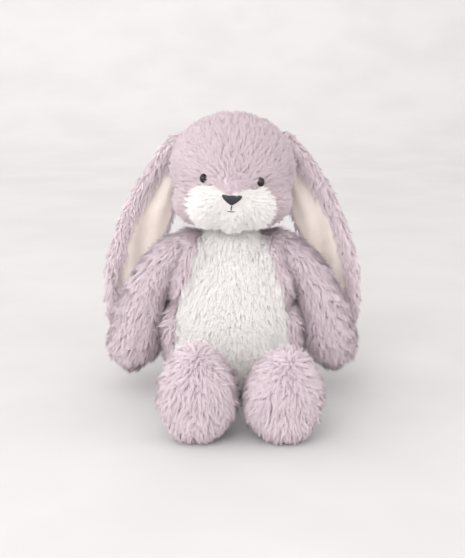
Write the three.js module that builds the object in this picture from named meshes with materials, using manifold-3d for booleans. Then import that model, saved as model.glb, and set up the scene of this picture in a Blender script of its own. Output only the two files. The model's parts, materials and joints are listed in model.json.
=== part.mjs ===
// A seated plush rabbit with lop ears, as a cut-and-sewn soft toy comes apart on a bench:
// plush fabric panels, polyester stuffing, a pellet pouch, safety eyes with their washers,
// embroidery and a sewn-in label. Millimetres, +Z up, the face looks along -Y.
// "left" and "right" are the rabbit's own, so its left side lies at +X.
import * as THREE from "three";
import { mergeVertices } from "three/addons/utils/BufferGeometryUtils.js";
import Module from "manifold-3d";

const wasm = await Module();
wasm.setup();

// Fabric
const CLOTH = 4; // knitted backing with the pressed root of its pile
const SEAM_GAP = 0.4; // between panels that are sewn edge to edge
const FILL_GAP = 0.6; // between a panel and the stuffing behind it

// Torso
const TORSO_WIDTH = 126;
const TORSO_DEPTH = 100;
const TORSO_HEIGHT = 145;
const NECK_HOLE_RADIUS = 6;
const NECK_STITCH_RADIUS = 8;
const SEAT_WIDTH = 72;
const SEAT_DEPTH = 56;

// Head
const HEAD_CENTRE = new THREE.Vector3(0, 0, 201.5);
const HEAD_HALF = new THREE.Vector3(57, 52, 52);
const MUZZLE_BULGE = 8;
const FACE_ROLL = THREE.MathUtils.degToRad(3.5);

// Face
const EYE_SPACING = 51;
const EYE_HEIGHT = -5.5; // below the head's middle
const EYE_RADIUS = 4.5;
const EYE_SHANK_RADIUS = 1.9;
const EYE_SHANK_LENGTH = 13;
const WASHER_RADIUS = 7;
const WASHER_THICKNESS = 1.2;
const NOSE_WIDTH = 18;
const NOSE_HEIGHT = 10.5;
const NOSE_TOP = -15.5;
const MOUTH_DROP = 7;
const MOUTH_WIDTH = 6;
const THREAD_WIDTH = 1.3;

// Limbs
const SHOULDER = new THREE.Vector3(38, 0, 131);
const SHOULDER_RADIUS = 15;
const HIP = new THREE.Vector3(30, -41, 31);
const HIP_CHANNEL_RADIUS = 17;
const FOOT_HALF = new THREE.Vector3(32.5, 22.5, 41.5);
const FOOT_TILT = THREE.MathUtils.degToRad(7);

// Ears
const EAR_THICKNESS = 6;
const LINING_THICKNESS = 2;

// Tail and label
const TAIL_RADIUS = 20;
const TAIL_CENTRE = new THREE.Vector3(0, 58, 36);
const LABEL = new THREE.Vector3(12, 0.9, 20);

const MATERIALS = {
  lilac_plush: { color: 0xcdb7c3, roughness: 0.95, metalness: 0 },
  white_plush: { color: 0xeee9e5, roughness: 0.95, metalness: 0 },
  ear_velour: { color: 0xe3d5ca, roughness: 0.85, metalness: 0 },
  stuffing: { color: 0xf4f4f2, roughness: 1, metalness: 0 },
  pouch_cloth: { color: 0xe8e4dc, roughness: 0.9, metalness: 0 },
  eye_plastic: { color: 0x0a0a0c, roughness: 0.12, metalness: 0 },
  washer_plastic: { color: 0xf0efe9, roughness: 0.5, metalness: 0 },
  nose_thread: { color: 0x3a3b46, roughness: 0.7, metalness: 0 },
  sewing_thread: { color: 0xcbb6c2, roughness: 0.7, metalness: 0 },
  label_satin: { color: 0xf7f5f1, roughness: 0.5, metalness: 0 },
};
const materials = Object.fromEntries(
  Object.entries(MATERIALS).map(([name, look]) => [
    name,
    new THREE.MeshStandardMaterial(look),
  ]),
);

// ---------------------------------------------------------------- solids

// A closed geometry as a manifold-3d solid, with its seam vertices merged.
function solidOf(geometry) {
  const bare = geometry.clone();
  bare.deleteAttribute("normal");
  bare.deleteAttribute("uv");
  const merged = mergeVertices(bare, 1e-3);
  const solid = new wasm.Manifold(
    new wasm.Mesh({
      numProp: 3,
      vertProperties: merged.attributes.position.array,
      triVerts: new Uint32Array(merged.index.array),
    }),
  );
  if (solid.volume() < 0) throw new Error("a form is inside out");
  return solid;
}

function geometryOf(solid) {
  const { numProp, numVert, vertProperties, triVerts } = solid.getMesh();
  const positions = new Float32Array(numVert * 3);
  for (let i = 0; i < numVert; i++) {
    const start = i * numProp;
    positions.set(vertProperties.subarray(start, start + 3), i * 3);
  }
  return new THREE.BufferGeometry()
    .setAttribute("position", new THREE.BufferAttribute(positions, 3))
    .setIndex(new THREE.BufferAttribute(triVerts, 1));
}

function box(low, high) {
  const size = new THREE.Vector3().subVectors(high, low);
  const middle = new THREE.Vector3().addVectors(low, high).multiplyScalar(0.5);
  return solidOf(
    new THREE.BoxGeometry(size.x, size.y, size.z).translate(
      middle.x,
      middle.y,
      middle.z,
    ),
  );
}

function ball(centre, half, wide = 16, high = 10) {
  return solidOf(
    new THREE.SphereGeometry(1, wide, high)
      .rotateX(Math.PI / 2)
      .scale(half.x, half.y, half.z)
      .translate(centre.x, centre.y, centre.z),
  );
}

// A cylinder about the X axis through a point.
function rollerX(centre, radius, from, to, sides = 16) {
  return solidOf(
    new THREE.CylinderGeometry(radius, radius, to - from, sides)
      .rotateZ(Math.PI / 2)
      .translate((from + to) / 2, centre.y, centre.z),
  );
}

// An outline in the XZ plane, pushed through from y = front to y = back.
function pushedThrough(outline, front, back, segments = 8) {
  return solidOf(
    new THREE.ExtrudeGeometry(outline, {
      depth: back - front,
      bevelEnabled: false,
      curveSegments: segments,
    })
      .rotateX(Math.PI / 2)
      .translate(0, back, 0),
  );
}

// A closed tube of elliptical rings along a curve, from its start to the place "until".
// section(t) gives the ring's half sizes across and through; "across" is the way its wide
// half size runs.
function tube(curve, section, across, steps, sides, until = 1) {
  const positions = [];
  const index = [];
  const through = new THREE.Vector3();
  const point = new THREE.Vector3();
  for (let i = 0; i <= steps; i++) {
    const t = (until * i) / steps;
    const centre = curve.getPoint(t);
    const wideWay = across.clone();
    through.crossVectors(curve.getTangent(t), wideWay).normalize();
    wideWay.crossVectors(through, curve.getTangent(t)).normalize();
    const { wide, thick } = section(t);
    for (let k = 0; k < sides; k++) {
      const angle = (2 * Math.PI * k) / sides;
      point
        .copy(centre)
        .addScaledVector(wideWay, wide * Math.cos(angle))
        .addScaledVector(through, thick * Math.sin(angle));
      positions.push(point.x, point.y, point.z);
    }
  }
  for (let i = 0; i < steps; i++) {
    for (let k = 0; k < sides; k++) {
      const next = (k + 1) % sides;
      const [a, b] = [i * sides + k, i * sides + next];
      index.push(a, b, b + sides, a, b + sides, a + sides);
    }
  }
  for (const [ring, outward] of [
    [0, -1],
    [steps, 1],
  ]) {
    const end = curve.getPoint((until * ring) / steps);
    const pole = positions.length / 3;
    positions.push(end.x, end.y, end.z);
    for (let k = 0; k < sides; k++) {
      const [a, b] = [ring * sides + k, ring * sides + ((k + 1) % sides)];
      index.push(...(outward > 0 ? [pole, a, b] : [pole, b, a]));
    }
  }
  const geometry = new THREE.BufferGeometry()
    .setAttribute("position", new THREE.Float32BufferAttribute(positions, 3))
    .setIndex(index);
  return solidOf(geometry);
}

// Linear interpolation through [place, value] pairs, eased between neighbours.
function graded(pairs, t) {
  const last = pairs.findIndex(([place]) => place >= t);
  if (last <= 0) return pairs[last < 0 ? pairs.length - 1 : 0][1];
  const [[t0, v0], [t1, v1]] = [pairs[last - 1], pairs[last]];
  const share = (t - t0) / (t1 - t0);
  return v0 + (v1 - v0) * (0.5 - 0.5 * Math.cos(Math.PI * share));
}

// Half of an ellipse's rise from its end, for rounding a tube's closed end.
const roundEnd = (share) =>
  Math.sqrt(Math.max(0, 1 - (1 - Math.min(1, share)) ** 2));

// ---------------------------------------------------------------- forms

// The torso's outer form, a pear standing on a flat seat, grown by "grow" all round.
const TORSO_PROFILE = [
  [0.0, 0.0],
  [0.62, 0.0],
  [0.84, 0.03],
  [0.96, 0.13],
  [1.0, 0.3],
  [0.95, 0.46],
  [0.85, 0.6],
  [0.72, 0.71],
  [0.59, 0.82],
  [0.46, 0.92],
  [0.26, 0.985],
  [0.0, 1.0],
];
function torsoForm(grow, rings = 11, sides = 20) {
  const flat = 2; // profile points that make the seat, kept off the curve
  const side = new THREE.SplineCurve(
    TORSO_PROFILE.slice(flat - 1).map(([r, z]) => new THREE.Vector2(r, z)),
  );
  const radius = TORSO_WIDTH / 2 + grow;
  const points = [new THREE.Vector2(0, 0), ...side.getPoints(rings)].map(
    ({ x, y }) =>
      new THREE.Vector2(
        Math.max(0, x) * radius,
        -grow + y * (TORSO_HEIGHT + 2 * grow),
      ),
  );
  points.at(-1).x = 0;
  const squeeze = (TORSO_DEPTH / 2 + grow) / radius;
  return solidOf(
    new THREE.LatheGeometry(points, sides).rotateX(Math.PI / 2).scale(1, squeeze, 1),
  );
}

// How far the face stands forward of the head's plain ball, for a point of the unit ball:
// out at the cheeks and in at the brow.
function facePush(x, y, z) {
  const cheek = Math.exp(-((x / 0.62) ** 2) - ((z + 0.5) / 0.42) ** 2);
  const brow = Math.exp(-((x / 0.9) ** 2) - ((z - 0.5) / 0.4) ** 2);
  return Math.max(0, -y) * (MUZZLE_BULGE * cheek - 3.5 * brow);
}

function headForm(grow, wide = 20, high = 13) {
  const geometry = new THREE.SphereGeometry(1, wide, high).rotateX(Math.PI / 2);
  const place = geometry.attributes.position;
  const p = new THREE.Vector3();
  for (let i = 0; i < place.count; i++) {
    p.fromBufferAttribute(place, i);
    const push = facePush(p.x, p.y, p.z);
    p.set(
      p.x * (HEAD_HALF.x + grow),
      p.y * (HEAD_HALF.y + grow) - push,
      p.z * (HEAD_HALF.z + grow),
    ).add(HEAD_CENTRE);
    place.setXYZ(i, p.x, p.y, p.z);
  }
  return solidOf(geometry);
}

// A point of the face plane, x sideways and z up from the head's centre, turned by the roll.
function onFace(x, z) {
  const [c, s] = [Math.cos(FACE_ROLL), Math.sin(FACE_ROLL)];
  return new THREE.Vector2(x * c + z * s, HEAD_CENTRE.z + z * c - x * s);
}

// An outline on the face, from points as seen from the front.
function faceShape(points, closedCurve = true) {
  const placed = points.map(([x, z]) => onFace(x, z));
  const shape = new THREE.Shape();
  if (closedCurve) {
    const ring = new THREE.CatmullRomCurve3(
      placed.map(({ x, y }) => new THREE.Vector3(x, y, 0)),
      true,
    );
    shape.setFromPoints(
      ring.getPoints(placed.length * 2).map(({ x, y }) => new THREE.Vector2(x, y)),
    );
  } else {
    shape.setFromPoints(placed);
  }
  return shape;
}

const mirroredX = (half) => [
  ...half,
  ...half
    .slice()
    .reverse()
    .filter(([x]) => x > 0.01)
    .map(([x, z]) => [-x, z]),
];

// The white muzzle panel: two cheeks that meet in a dip under the bridge of the nose.
const MUZZLE_OUTLINE = mirroredX([
  [0, -15.5],
  [7, -13],
  [14, -9.5],
  [24, -8.5],
  [33, -13],
  [38.5, -24],
  [37, -35],
  [29, -44],
  [15, -49.5],
  [0, -50.5],
]);

// The white belly panel, an egg standing on its wide end.
function bellyShape(grow) {
  const points = mirroredX([
    [0, 145],
    [20, 140],
    [33, 118],
    [46, 88],
    [51, 58],
    [46, 30],
    [27, 13],
    [0, 9],
  ]).map(
    ([x, z]) =>
      new THREE.Vector3(x * (1 + grow / 50), z + (grow * (z - 80)) / 75, 0),
  );
  const ring = new THREE.CatmullRomCurve3(points, true);
  return new THREE.Shape(
    ring.getPoints(24).map(({ x, y }) => new THREE.Vector2(x, y)),
  );
}

// ---------------------------------------------------------------- assembly

const rabbit = new THREE.Group();

function add(name, solid, material) {
  const mesh = new THREE.Mesh(geometryOf(solid), materials[material]);
  mesh.geometry.computeVertexNormals();
  mesh.name = name;
  rabbit.add(mesh);
  return mesh;
}

const FAR = 400;
const at = (x, y, z) => new THREE.Vector3(x, y, z);
const sideBox = (side) =>
  side > 0
    ? box(at(SEAM_GAP / 2, -FAR, -FAR), at(FAR, FAR, FAR))
    : box(at(-FAR, -FAR, -FAR), at(-SEAM_GAP / 2, FAR, FAR));
const SIDES = [
  ["left", 1],
  ["right", -1],
];
const mirrorFor = (solid, side) => (side > 0 ? solid : solid.mirror([1, 0, 0]));

// ---- arms

// An arm hangs from its round shoulder, bows outward and ends in a paw.
const ARM_PATH = new THREE.CatmullRomCurve3([
  at(28, 0, 131),
  at(40, 0, 131),
  at(54, -1, 124),
  at(66, -3, 110),
  at(77, -6, 90),
  at(85, -9, 66),
  at(89, -10, 41),
  at(90, -10, 16),
]);
const ARM_RADII = [
  [0, 12],
  [0.1, 14.5],
  [0.3, 16],
  [0.5, 18.5],
  [0.75, 23],
  [0.88, 25],
  [1, 25],
];
const PAW_ROUNDING = 0.19;
function armForm(shrink) {
  const until = 1 - shrink / ARM_PATH.getLength();
  const section = (t) => {
    const radius = graded(ARM_RADII, t) - shrink;
    const rounded = radius * roundEnd((until - t) / PAW_ROUNDING + 0.02);
    return { wide: rounded, thick: rounded };
  };
  return tube(ARM_PATH, section, at(0, 1, 0), 12, 10, until);
}

function addArm(side, sideName) {
  const outer = armForm(0);
  const open = box(at(0, -FAR, -FAR), at(30.5, FAR, FAR));
  const shell = outer
    .subtract(armForm(CLOTH).add(rollerX(SHOULDER, 8, 20, 36)))
    .subtract(open);
  const fill = armForm(CLOTH + FILL_GAP).subtract(
    box(at(0, -FAR, -FAR), at(36, FAR, FAR)),
  );
  const name = `arm_${sideName}`;
  add(`${name}_shell`, mirrorFor(shell, side), "lilac_plush");
  add(`${name}_stuffing`, mirrorFor(fill, side), "stuffing");
}

// ---- legs

// A leg is pinched flat where it is sewn to the torso, and ends in a big upright foot.
const LEG_THICKNESS = [
  [0, 3],
  [0.1, 7],
  [0.42, 22],
  [1, 22],
];
const LEG_WIDTH = [
  [0, 17],
  [0.35, 22],
  [1, 22],
];
const FOOT_REACH = 98.5; // from the hip to the middle of the foot
const LEG_SPREAD = { left: 11, right: -2.2 }; // how far outward the foot stands from the hip

function legForm(spread, shrink) {
  const ankle = at(HIP.x + spread * 0.9, HIP.y - FOOT_REACH + 4, 34);
  const path = new THREE.CatmullRomCurve3([
    HIP,
    HIP.clone().lerp(ankle, 0.35).setZ(28),
    HIP.clone().lerp(ankle, 0.7).setZ(28),
    ankle,
  ]);
  const section = (t) => ({
    wide: graded(LEG_WIDTH, t) - shrink,
    thick: Math.max(1, graded(LEG_THICKNESS, t) - shrink),
  });
  const leg = tube(path, section, at(1, 0, 0), 6, 10);
  const half = FOOT_HALF.clone().subScalar(shrink);
  const footShape = new THREE.SphereGeometry(1, 14, 10).rotateX(Math.PI / 2);
  const place = footShape.attributes.position;
  const p = new THREE.Vector3();
  for (let i = 0; i < place.count; i++) {
    p.fromBufferAttribute(place, i);
    const narrow = 1 - 0.14 * p.z - 0.05 * p.z * p.z; // the toe end, up, is the slimmer one
    const plump = Math.sign(p.y) * Math.abs(p.y) ** 0.8;
    place.setXYZ(i, p.x * half.x * narrow, plump * half.y, p.z * half.z);
  }
  footShape
    .rotateY(FOOT_TILT * Math.sign(spread) * (spread > 0 ? 1 : -0.4))
    .translate(HIP.x + spread, HIP.y - FOOT_REACH, 41.5);
  return leg.add(solidOf(footShape));
}

function soleShape(spread, grow) {
  const ring = new THREE.EllipseCurve(
    HIP.x + spread,
    41,
    FOOT_HALF.x * 0.8 + grow,
    FOOT_HALF.z * 0.82 + grow,
  );
  return new THREE.Shape(ring.getPoints(20));
}

function addLeg(side, sideName) {
  const spread = LEG_SPREAD[sideName];
  const outer = legForm(spread, 0);
  const hollow = legForm(spread, CLOTH);
  const seam = box(at(-FAR, HIP.y - 4, -FAR), at(FAR, FAR, FAR));
  const aboveFloor = box(at(-FAR, -FAR, 0.6), at(FAR, FAR, FAR));
  const skin = outer
    .subtract(hollow.subtract(seam))
    .subtract(rollerX(HIP, 2, HIP.x - 10, HIP.x + 10))
    .intersect(aboveFloor);
  const front = HIP.y - FOOT_REACH - 6;
  const shell = skin.subtract(
    pushedThrough(soleShape(spread, SEAM_GAP), front - 60, front),
  );
  const sole = skin.intersect(
    pushedThrough(soleShape(spread, 0), front - 60, front - SEAM_GAP),
  );
  const fill = legForm(spread, CLOTH + FILL_GAP).subtract(
    box(at(-FAR, HIP.y - 6, -FAR), at(FAR, FAR, FAR)),
  );
  const name = `leg_${sideName}`;
  add(`${name}_shell`, mirrorFor(shell, side), "lilac_plush");
  add(`${name}_sole`, mirrorFor(sole, side), "lilac_plush");
  add(`${name}_stuffing`, mirrorFor(fill, side), "stuffing");
}

// ---- ears

// An ear hangs from the side of the head, behind the arm, as a long curled leaf.
const EAR_PATH = new THREE.CatmullRomCurve3([
  at(36, 10, 231),
  at(46, 14, 220),
  at(60, 20, 196),
  at(73, 26, 165),
  at(85, 29, 132),
  at(94, 31, 98),
  at(98, 32, 66),
  at(98, 32, 40),
]);
const EAR_HALF_WIDTHS = [
  [0, 9],
  [0.18, 18],
  [0.42, 27],
  [0.68, 28],
  [0.88, 22],
  [1, 14],
];
const EAR_TIP_ROUNDING = 0.1;
const EAR_ACROSS = at(0.9, -0.4, 0).normalize(); // the outer rim stands further forward

const EAR_HINGE = at(51, 0, 229); // the ear's seam folds about Y here
const EAR_SWING = 100; // degrees, hanging to straight out
const EAR_FRONT = new THREE.Vector3().crossVectors(EAR_ACROSS, at(0, 0, 1));

function earForm(shrink, thickness, forward) {
  const path = new THREE.CatmullRomCurve3(
    EAR_PATH.points.map((p) => p.clone().addScaledVector(EAR_FRONT, forward)),
  );
  const until = 1 - shrink / path.getLength();
  const section = (t) => {
    const width = graded(EAR_HALF_WIDTHS, t) - shrink;
    const rounded = width * roundEnd((until - t) / EAR_TIP_ROUNDING + 0.05);
    return { wide: rounded, thick: thickness / 2 };
  };
  return tube(path, section, EAR_ACROSS, 12, 8, until);
}

// The room that the head takes up as seen from the ear, from hanging to lifted right out.
function headRoom() {
  const head = headForm(SEAM_GAP + 0.5);
  const { x, y, z } = EAR_HINGE;
  let room = head;
  for (let turn = 10; turn <= EAR_SWING; turn += 10)
    room = room.add(
      head.translate([-x, -y, -z]).rotate([0, turn, 0]).translate([x, y, z]),
    );
  return room;
}

function addEar(side, sideName) {
  const outer = earForm(0, EAR_THICKNESS, 0);
  const root = box(at(-FAR, -FAR, 208), at(FAR, FAR, FAR));
  const clear = headRoom();
  const gap = EAR_FRONT.clone().multiplyScalar(SEAM_GAP);
  const lining = earForm(6, LINING_THICKNESS * 2, 3)
    .subtract(outer)
    .subtract(outer.translate([gap.x, gap.y, gap.z]))
    .subtract(root)
    .subtract(clear);
  const whole = outer.subtract(clear).decompose();
  const leaf = whole.sort((a, b) => b.volume() - a.volume())[0];
  const front = lining.decompose().sort((a, b) => b.volume() - a.volume())[0];
  add(`ear_${sideName}_outer`, mirrorFor(leaf, side), "lilac_plush");
  add(`ear_${sideName}_lining`, mirrorFor(front, side), "ear_velour");
}

// ---- torso

function addTorso() {
  const outer = torsoForm(0);
  const hollow = torsoForm(-CLOTH);
  const neck = solidOf(
    new THREE.CylinderGeometry(NECK_HOLE_RADIUS, NECK_HOLE_RADIUS, 60, 28)
      .rotateX(Math.PI / 2)
      .translate(0, 0, TORSO_HEIGHT),
  );
  const sockets = [1, -1].flatMap((side) => {
    const [near, far] = side > 0 ? [29.5, 80] : [-80, -29.5];
    const [inner, outerEnd] = side > 0 ? [HIP.x - 23, HIP.x + 30] : [-HIP.x - 30, -HIP.x + 23];
    return [
      rollerX(SHOULDER, SHOULDER_RADIUS + 1.5, near, far),
      rollerX(HIP, HIP_CHANNEL_RADIUS, inner, outerEnd),
    ];
  });
  const holes = sockets.reduce((sum, one) => sum.add(one), neck);
  const skin = outer.subtract(hollow).subtract(holes);
  const belly = (grow) => pushedThrough(bellyShape(grow), -80, -1);
  const seatOval = (grow) =>
    solidOf(
      new THREE.CylinderGeometry(1, 1, 10, 24)
        .rotateX(Math.PI / 2)
        .scale(SEAT_WIDTH / 2 + grow, SEAT_DEPTH / 2 + grow, 1),
    );
  const sides = skin.subtract(belly(SEAM_GAP)).subtract(seatOval(SEAM_GAP));
  for (const [name, side] of SIDES) {
    const half = sides.intersect(sideBox(side)).decompose();
    const panel = half.sort((a, b) => b.volume() - a.volume())[0];
    add(`torso_${name}_panel`, panel, "lilac_plush");
  }
  const front = skin.intersect(belly(0)).decompose();
  add(
    "belly_panel",
    front.sort((a, b) => b.volume() - a.volume())[0],
    "white_plush",
  );
  add("seat_panel", skin.intersect(seatOval(0)), "lilac_plush");

  const pouchHalf = at(36, 26, 13);
  const pouchCentre = at(0, 6, CLOTH + pouchHalf.z + 1.5);
  add("pellet_pouch", ball(pouchCentre, pouchHalf), "pouch_cloth");
  const room = ball(pouchCentre, pouchHalf.clone().addScalar(1));
  const keepOff = [1, -1].flatMap((side) => {
    const [near, far] = side > 0 ? [28.5, 80] : [-80, -28.5];
    const [inner, outerEnd] = side > 0 ? [HIP.x - 24, HIP.x + 31] : [-HIP.x - 31, -HIP.x + 24];
    return [
      rollerX(SHOULDER, SHOULDER_RADIUS + 2.5, near, far),
      rollerX(HIP, HIP_CHANNEL_RADIUS + 1, inner, outerEnd),
    ];
  });
  const fill = keepOff.reduce(
    (rest, one) => rest.subtract(one),
    torsoForm(-CLOTH - FILL_GAP).subtract(room),
  );
  add(
    "torso_stuffing",
    fill.decompose().sort((a, b) => b.volume() - a.volume())[0],
    "stuffing",
  );
  const stitches = new THREE.TorusGeometry(NECK_STITCH_RADIUS, 0.7, 6, 18).translate(
    0,
    0,
    TORSO_HEIGHT + 2.3,
  );
  add("neck_stitching", solidOf(stitches), "sewing_thread");

  const tail = ball(TAIL_CENTRE, at(TAIL_RADIUS, TAIL_RADIUS, TAIL_RADIUS));
  add("tail", tail.subtract(torsoForm(SEAM_GAP + 0.3)), "white_plush");
  const label = solidOf(new THREE.BoxGeometry(LABEL.x, LABEL.y, LABEL.z));
  add(
    "care_label",
    label.rotate([-78, 0, -33]).translate([35, 47, 14]).subtract(torsoForm(SEAM_GAP + 0.3)),
    "label_satin",
  );
}

// ---- head

// Where an eye sits: the surface point straight behind its place on the face.
function eyePlace(side) {
  const { x, y: z } = onFace((side * EYE_SPACING) / 2, EYE_HEIGHT);
  const u = (x - HEAD_CENTRE.x) / HEAD_HALF.x;
  const v = (z - HEAD_CENTRE.z) / HEAD_HALF.z;
  const w = -Math.sqrt(1 - u * u - v * v);
  const y = HEAD_HALF.y * w - facePush(u, w, v);
  const normal = at(
    (x - HEAD_CENTRE.x) / HEAD_HALF.x ** 2,
    y / HEAD_HALF.y ** 2,
    (z - HEAD_CENTRE.z) / HEAD_HALF.z ** 2,
  ).normalize();
  return { place: at(x, y, z), normal };
}

// A lathed piece with its axis along an eye's normal, "out" being positive along it.
function onEyeAxis(side, profile, sides) {
  const { place, normal } = eyePlace(side);
  const turn = new THREE.Quaternion().setFromUnitVectors(at(0, 1, 0), normal);
  return solidOf(
    new THREE.LatheGeometry(
      profile.map(([r, out]) => new THREE.Vector2(r, out)),
      sides,
    )
      .applyQuaternion(turn)
      .translate(place.x, place.y, place.z),
  );
}

const SINK = 1.2; // the eye presses this far into the plush
const DOME = [0, 20, 40, 60, 78, 90].map((d) => THREE.MathUtils.degToRad(d));
const EYE_PROFILE = [
  [0, -EYE_SHANK_LENGTH],
  [EYE_SHANK_RADIUS, -EYE_SHANK_LENGTH],
  [EYE_SHANK_RADIUS, -SINK],
  ...DOME.map((a) => [
    Math.max(EYE_RADIUS * Math.cos(a), a > 1.5 ? 0 : 0.1),
    -SINK + 0.1 + EYE_RADIUS * 0.75 * Math.sin(a),
  ]),
];
EYE_PROFILE.at(-1)[0] = 0;
const WASHER_FACE = -CLOTH - 4.8; // its far side, from the surface
const WASHER_PROFILE = [
  [EYE_SHANK_RADIUS + 0.4, WASHER_FACE],
  [WASHER_RADIUS, WASHER_FACE],
  [WASHER_RADIUS, WASHER_FACE + WASHER_THICKNESS],
  [EYE_SHANK_RADIUS + 0.4, WASHER_FACE + WASHER_THICKNESS],
  [EYE_SHANK_RADIUS + 0.4, WASHER_FACE],
];
const disc = (radius, from, to) => [
  [0, from],
  [radius, from],
  [radius, to],
  [0, to],
];

function addHead() {
  const outer = headForm(0);
  const hollow = headForm(-CLOTH);
  const neck = solidOf(
    new THREE.CylinderGeometry(NECK_HOLE_RADIUS, NECK_HOLE_RADIUS, 30, 28)
      .rotateX(Math.PI / 2)
      .translate(0, 0, HEAD_CENTRE.z - HEAD_HALF.z),
  );
  let skin = outer.subtract(hollow).subtract(neck);
  let fill = headForm(-CLOTH - FILL_GAP);
  for (const side of [1, -1]) {
    const seat = onEyeAxis(side, disc(EYE_RADIUS + 0.4, -SINK - 0.4, 12), 20);
    const bore = onEyeAxis(side, disc(EYE_SHANK_RADIUS + 0.4, -20, 5), 14);
    skin = skin.subtract(seat).subtract(bore);
    fill = fill.subtract(
      onEyeAxis(side, disc(WASHER_RADIUS + 1, -EYE_SHANK_LENGTH - 1, 5), 20),
    );
  }
  const muzzle = (scale) =>
    pushedThrough(
      faceShape(
        MUZZLE_OUTLINE.map(([x, z]) => [x * scale, (z + 30) * scale - 30]),
      ),
      -FAR,
      -8,
    );
  const sides = skin.subtract(muzzle(1.012));
  for (const [name, side] of SIDES) {
    const half = sides.intersect(sideBox(side)).decompose();
    const panel = half.sort((a, b) => b.volume() - a.volume())[0];
    add(`head_${name}_panel`, panel, "lilac_plush");
  }
  const cheeks = skin.intersect(muzzle(1)).decompose();
  add(
    "muzzle_panel",
    cheeks.sort((a, b) => b.volume() - a.volume())[0],
    "white_plush",
  );
  add("head_stuffing", fill, "stuffing");

  for (const [name, side] of SIDES) {
    add(`eye_${name}`, onEyeAxis(side, EYE_PROFILE, 14), "eye_plastic");
    add(
      `eye_washer_${name}`,
      onEyeAxis(side, WASHER_PROFILE, 14),
      "washer_plastic",
    );
  }

  const half = NOSE_WIDTH / 2;
  const noseShape = faceShape(
    mirroredX([
      [0, NOSE_TOP + 0.3],
      [half * 0.45, NOSE_TOP + 0.9],
      [half * 0.9, NOSE_TOP + 0.4],
      [half, NOSE_TOP - 1.4],
      [half * 0.6, NOSE_TOP - NOSE_HEIGHT * 0.62],
      [0, NOSE_TOP - NOSE_HEIGHT],
    ]),
  );
  const padding = (low, high) => headForm(high).subtract(headForm(low));
  add(
    "nose",
    pushedThrough(noseShape, -FAR, -30).intersect(padding(0.5, 3)),
    "nose_thread",
  );
  const start = NOSE_TOP - NOSE_HEIGHT - 0.8;
  const w = THREAD_WIDTH / 2;
  const line = faceShape(
    mirroredX([
      [w, start],
      [w, start - MOUTH_DROP + THREAD_WIDTH],
      [MOUTH_WIDTH / 2, start - MOUTH_DROP + THREAD_WIDTH * 0.6],
      [MOUTH_WIDTH / 2, start - MOUTH_DROP - THREAD_WIDTH * 0.4],
      [0, start - MOUTH_DROP],
    ]),
    false,
  );
  add(
    "mouth",
    pushedThrough(line, -FAR, -30).intersect(padding(0.5, 1.8)),
    "nose_thread",
  );
}

addTorso();
addHead();
for (const [name, side] of SIDES) {
  addArm(side, name);
  addLeg(side, name);
  addEar(side, name);
}

// The origin is the middle of the underside of everything together.
const bounds = new THREE.Box3().setFromObject(rabbit);
const middle = bounds.getCenter(new THREE.Vector3());
for (const mesh of rabbit.children)
  mesh.geometry.translate(-middle.x, -middle.y, -bounds.min.z);

export default rabbit;
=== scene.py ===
"""The looks of a seated plush rabbit: long-piled lilac plush with a white muzzle and belly,
velour ear linings, glossy eyes and an embroidered nose, on a plain pale floor. The pile is
real geometry: clumps of thin tapered locks that grow from the stuffed skins and lie along a
combed flow."""

import json
import math

import bpy
import numpy as np
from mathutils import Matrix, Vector


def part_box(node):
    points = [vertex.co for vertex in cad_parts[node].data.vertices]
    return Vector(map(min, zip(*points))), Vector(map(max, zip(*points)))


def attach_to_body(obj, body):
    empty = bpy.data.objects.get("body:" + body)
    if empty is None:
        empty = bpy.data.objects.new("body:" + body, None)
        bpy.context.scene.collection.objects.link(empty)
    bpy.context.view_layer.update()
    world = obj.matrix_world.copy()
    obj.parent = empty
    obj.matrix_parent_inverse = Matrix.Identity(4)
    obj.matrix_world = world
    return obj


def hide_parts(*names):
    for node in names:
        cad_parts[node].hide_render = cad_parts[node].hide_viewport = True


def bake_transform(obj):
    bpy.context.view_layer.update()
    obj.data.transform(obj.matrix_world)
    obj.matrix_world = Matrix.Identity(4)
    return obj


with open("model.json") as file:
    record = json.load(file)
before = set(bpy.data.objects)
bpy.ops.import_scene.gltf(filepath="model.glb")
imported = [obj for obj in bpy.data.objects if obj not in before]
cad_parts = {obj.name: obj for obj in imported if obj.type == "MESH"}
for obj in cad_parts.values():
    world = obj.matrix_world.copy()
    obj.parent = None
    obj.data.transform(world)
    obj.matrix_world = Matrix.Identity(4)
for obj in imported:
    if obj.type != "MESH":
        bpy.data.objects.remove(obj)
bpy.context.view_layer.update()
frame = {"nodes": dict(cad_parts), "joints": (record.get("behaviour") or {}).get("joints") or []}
NODES = frame["nodes"]
JOINTS = {j["name"]: j for j in frame["joints"]}
MM = 0.001
MIDDLE_Y = 0.042  # from the middle of the torso to the frame's origin
STRAND_SHARE = 1.0  # of the locks in each clump


def at(x, y, z):
    """A point given in millimetres from the middle of the torso's seat."""
    return np.array([x * MM, y * MM + MIDDLE_Y, z * MM])


# ------------------------------------------------------------------ meshes


def read_mesh(mesh):
    """A mesh's vertices, and its faces as lists of vertex numbers."""
    co = np.empty(len(mesh.vertices) * 3)
    mesh.vertices.foreach_get("co", co)
    loops = np.empty(len(mesh.loops), int)
    mesh.loops.foreach_get("vertex_index", loops)
    starts = np.empty(len(mesh.polygons), int)
    mesh.polygons.foreach_get("loop_start", starts)
    return co.reshape(-1, 3), np.split(loops, starts[1:])


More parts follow.
